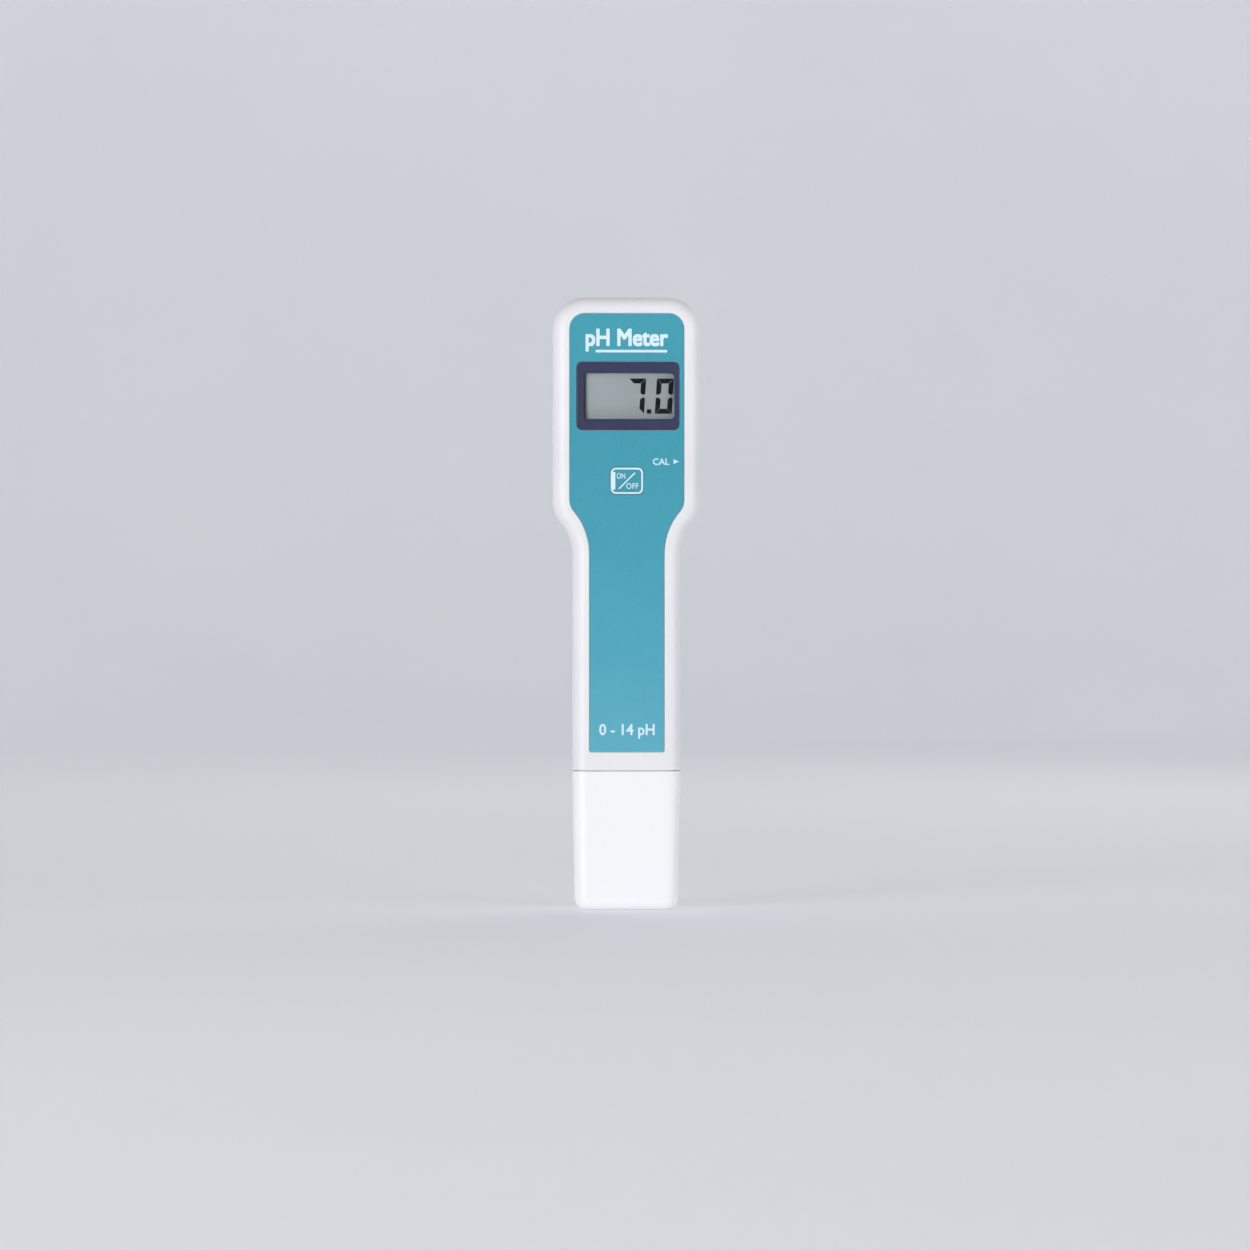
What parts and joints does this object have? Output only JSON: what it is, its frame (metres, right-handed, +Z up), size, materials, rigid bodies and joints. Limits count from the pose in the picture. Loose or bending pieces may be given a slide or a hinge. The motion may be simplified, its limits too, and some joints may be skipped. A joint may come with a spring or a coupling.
{
  "type": "digital pH meter",
  "caption": "Pen-style digital pH tester with a waisted housing, display, push key, 9 V battery bay, glass-bulb probe and pull-off cap, standing on the cap.",
  "frame": {"origin": "centre of the cap's flat foot, which the meter stands on", "axes": "+Z up along the pen towards the display head, +X to the right seen from the display, -Y out of the display"},
  "size_m": [0.0422, 0.024, 0.175],
  "materials": {
    "housing_plastic": "satin",
    "cap_plastic": "satin",
    "label_film": "satin",
    "key_plastic": "satin",
    "bezel_plastic": "satin",
    "clear_window": "polished",
    "display_glass": "gloss",
    "reflector_film": "matte",
    "grey_plastic": "satin",
    "contact_rubber": "matte",
    "circuit_laminate": "satin",
    "black_plastic": "satin",
    "switch_metal": "satin",
    "trimmer_plastic": "satin",
    "brass": "satin",
    "capacitor_resin": "gloss",
    "resistor_lacquer": "gloss",
    "battery_jacket": "satin",
    "battery_insulator": "satin",
    "nickel_plate": "polished",
    "red_insulation": "satin",
    "black_insulation": "satin",
    "grey_insulation": "satin",
    "seal_rubber": "satin",
    "probe_epoxy": "gloss",
    "guard_plastic": "gloss",
    "bulb_glass": "polished",
    "silver_wire": "satin",
    "junction_ceramic": "matte",
    "foam": "matte",
    "screw_steel": "satin"
  },
  "bodies": {
    "housing": {"front_shell": "housing_plastic", "rear_shell": "housing_plastic", "face_label": "label_film", "display_bezel": "bezel_plastic", "display_lens": "clear_window", "lcd_front_glass": "display_glass", "lcd_rear_glass": "display_glass", "lcd_reflector": "reflector_film", "lcd_carrier": "grey_plastic", "zebra_strip_lower": "contact_rubber", "zebra_strip_upper": "contact_rubber", "main_board": "circuit_laminate", "switch_housing": "black_plastic", "switch_plate": "switch_metal", "trimmer_housing": "trimmer_plastic", "meter_chip": "black_plastic", "amplifier_chip": "black_plastic", "film_capacitor_1": "capacitor_resin", "film_capacitor_2": "capacitor_resin", "electrolytic_capacitor": "black_plastic", "resistor_1": "resistor_lacquer", "resistor_2": "resistor_lacquer", "resistor_3": "resistor_lacquer", "battery_jacket": "battery_jacket", "battery_top_plate": "battery_insulator", "battery_stud": "nickel_plate", "battery_socket": "nickel_plate", "clip_cover": "battery_insulator", "clip_socket": "nickel_plate", "clip_stud": "nickel_plate", "lead_positive": "red_insulation", "lead_negative": "black_insulation", "probe_cable": "grey_insulation", "probe_collar": "cap_plastic", "collar_seal": "seal_rubber", "probe_body": "probe_epoxy", "glass_bulb": "bulb_glass", "silver_wire": "silver_wire", "reference_ring": "junction_ceramic", "probe_guard": "guard_plastic", "case_screw_1": "screw_steel", "case_screw_2": "screw_steel", "case_screw_3": "screw_steel", "case_screw_4": "screw_steel", "board_screw_1": "screw_steel", "board_screw_2": "screw_steel", "board_screw_3": "screw_steel"},
    "cap": {"protective_cap": "cap_plastic"},
    "key": {"power_key": "key_plastic", "switch_plunger": "black_plastic"},
    "trimmer": {"trimmer_rotor": "brass"},
    "door": {"battery_door": "housing_plastic", "door_pad": "foam"}
  },
  "joints": [
    {"name": "cap_pull", "type": "slide", "parent": "cap", "child": "housing", "axis": [0, 0, 1], "range_m": [0, 0.045]},
    {"name": "power_key_press", "type": "slide", "parent": "housing", "child": "key", "axis": [0, 1, 0], "range_m": [0, 0.0005], "stiffness_N_per_m": 400, "springref_m": -0.002},
    {"name": "cal_trimmer_turn", "type": "hinge", "parent": "housing", "child": "trimmer", "pos_m": [0.018, 0, 0.128], "axis": [1, 0, 0], "range_deg": [-130, 130]},
    {"name": "battery_door_swing", "type": "hinge", "parent": "housing", "child": "door", "pos_m": [0, 0.0116, 0.1002], "axis": [1, 0, 0], "range_deg": [0, 60]}
  ]
}
